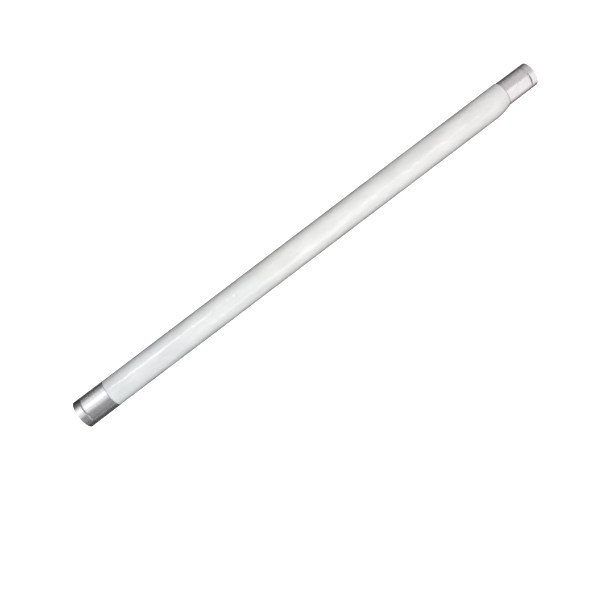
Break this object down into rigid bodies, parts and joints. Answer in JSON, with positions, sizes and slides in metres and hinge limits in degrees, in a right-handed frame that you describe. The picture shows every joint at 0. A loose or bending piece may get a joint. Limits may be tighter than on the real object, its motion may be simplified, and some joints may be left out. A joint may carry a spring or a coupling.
{
  "type": "ultraviolet led tube lamp",
  "caption": "Slim straight opal tube lamp with a turned aluminium cap on each end, two contact pins in each cap, and a rail, light board and driver inside.",
  "frame": {"origin": "middle of the lamp, on the axis of the opal tube", "axes": "+X along the tube from the broad near cap to the slimmer far cap, +Z the way the lamp shines, +Y the side that the far cap is shifted to"},
  "size_m": [0.599, 0.032, 0.032],
  "materials": {
    "opal_tube": "glossy opal plastic",
    "turned_aluminium": "turned and polished, fine rings round the axis",
    "disc_plastic": "moulded, satin",
    "pin_metal": "bright nickel over brass",
    "rail_aluminium": "extruded, satin",
    "board_white": "white solder mask on an aluminium core",
    "chip_resin": "clear resin over white bodies",
    "driver_laminate": "pressed laminate",
    "black_moulding": "black moulded resin",
    "film_yellow": "glossy cast case",
    "ferrite": "dark sintered core",
    "winding_tape": "taped winding",
    "can_sleeve": "sleeved can",
    "wire_white": "soft insulated wire",
    "wire_red": "soft insulated wire"
  },
  "bodies": {
    "root": {"diffuser_tube": "opal_tube", "near_cap": "turned_aluminium", "far_cap": "turned_aluminium", "near_insulator": "disc_plastic", "far_insulator": "disc_plastic", "near_pin_a": "pin_metal", "near_pin_b": "pin_metal", "far_pin_a": "pin_metal", "far_pin_b": "pin_metal", "heat_sink_rail": "rail_aluminium", "led_board": "board_white", "led_chips": "chip_resin", "driver_board": "driver_laminate", "line_fuse": "black_moulding", "film_capacitor": "film_yellow", "bridge_rectifier": "black_moulding", "filter_choke": "ferrite", "transformer_core": "ferrite", "transformer_winding": "winding_tape", "driver_chip": "black_moulding", "smoothing_capacitor": "can_sleeve", "near_lead_a": "wire_white", "near_lead_b": "wire_white", "far_jumper_lead": "wire_white", "output_lead_a": "wire_red", "output_lead_b": "wire_white"}
  },
  "joints": []
}
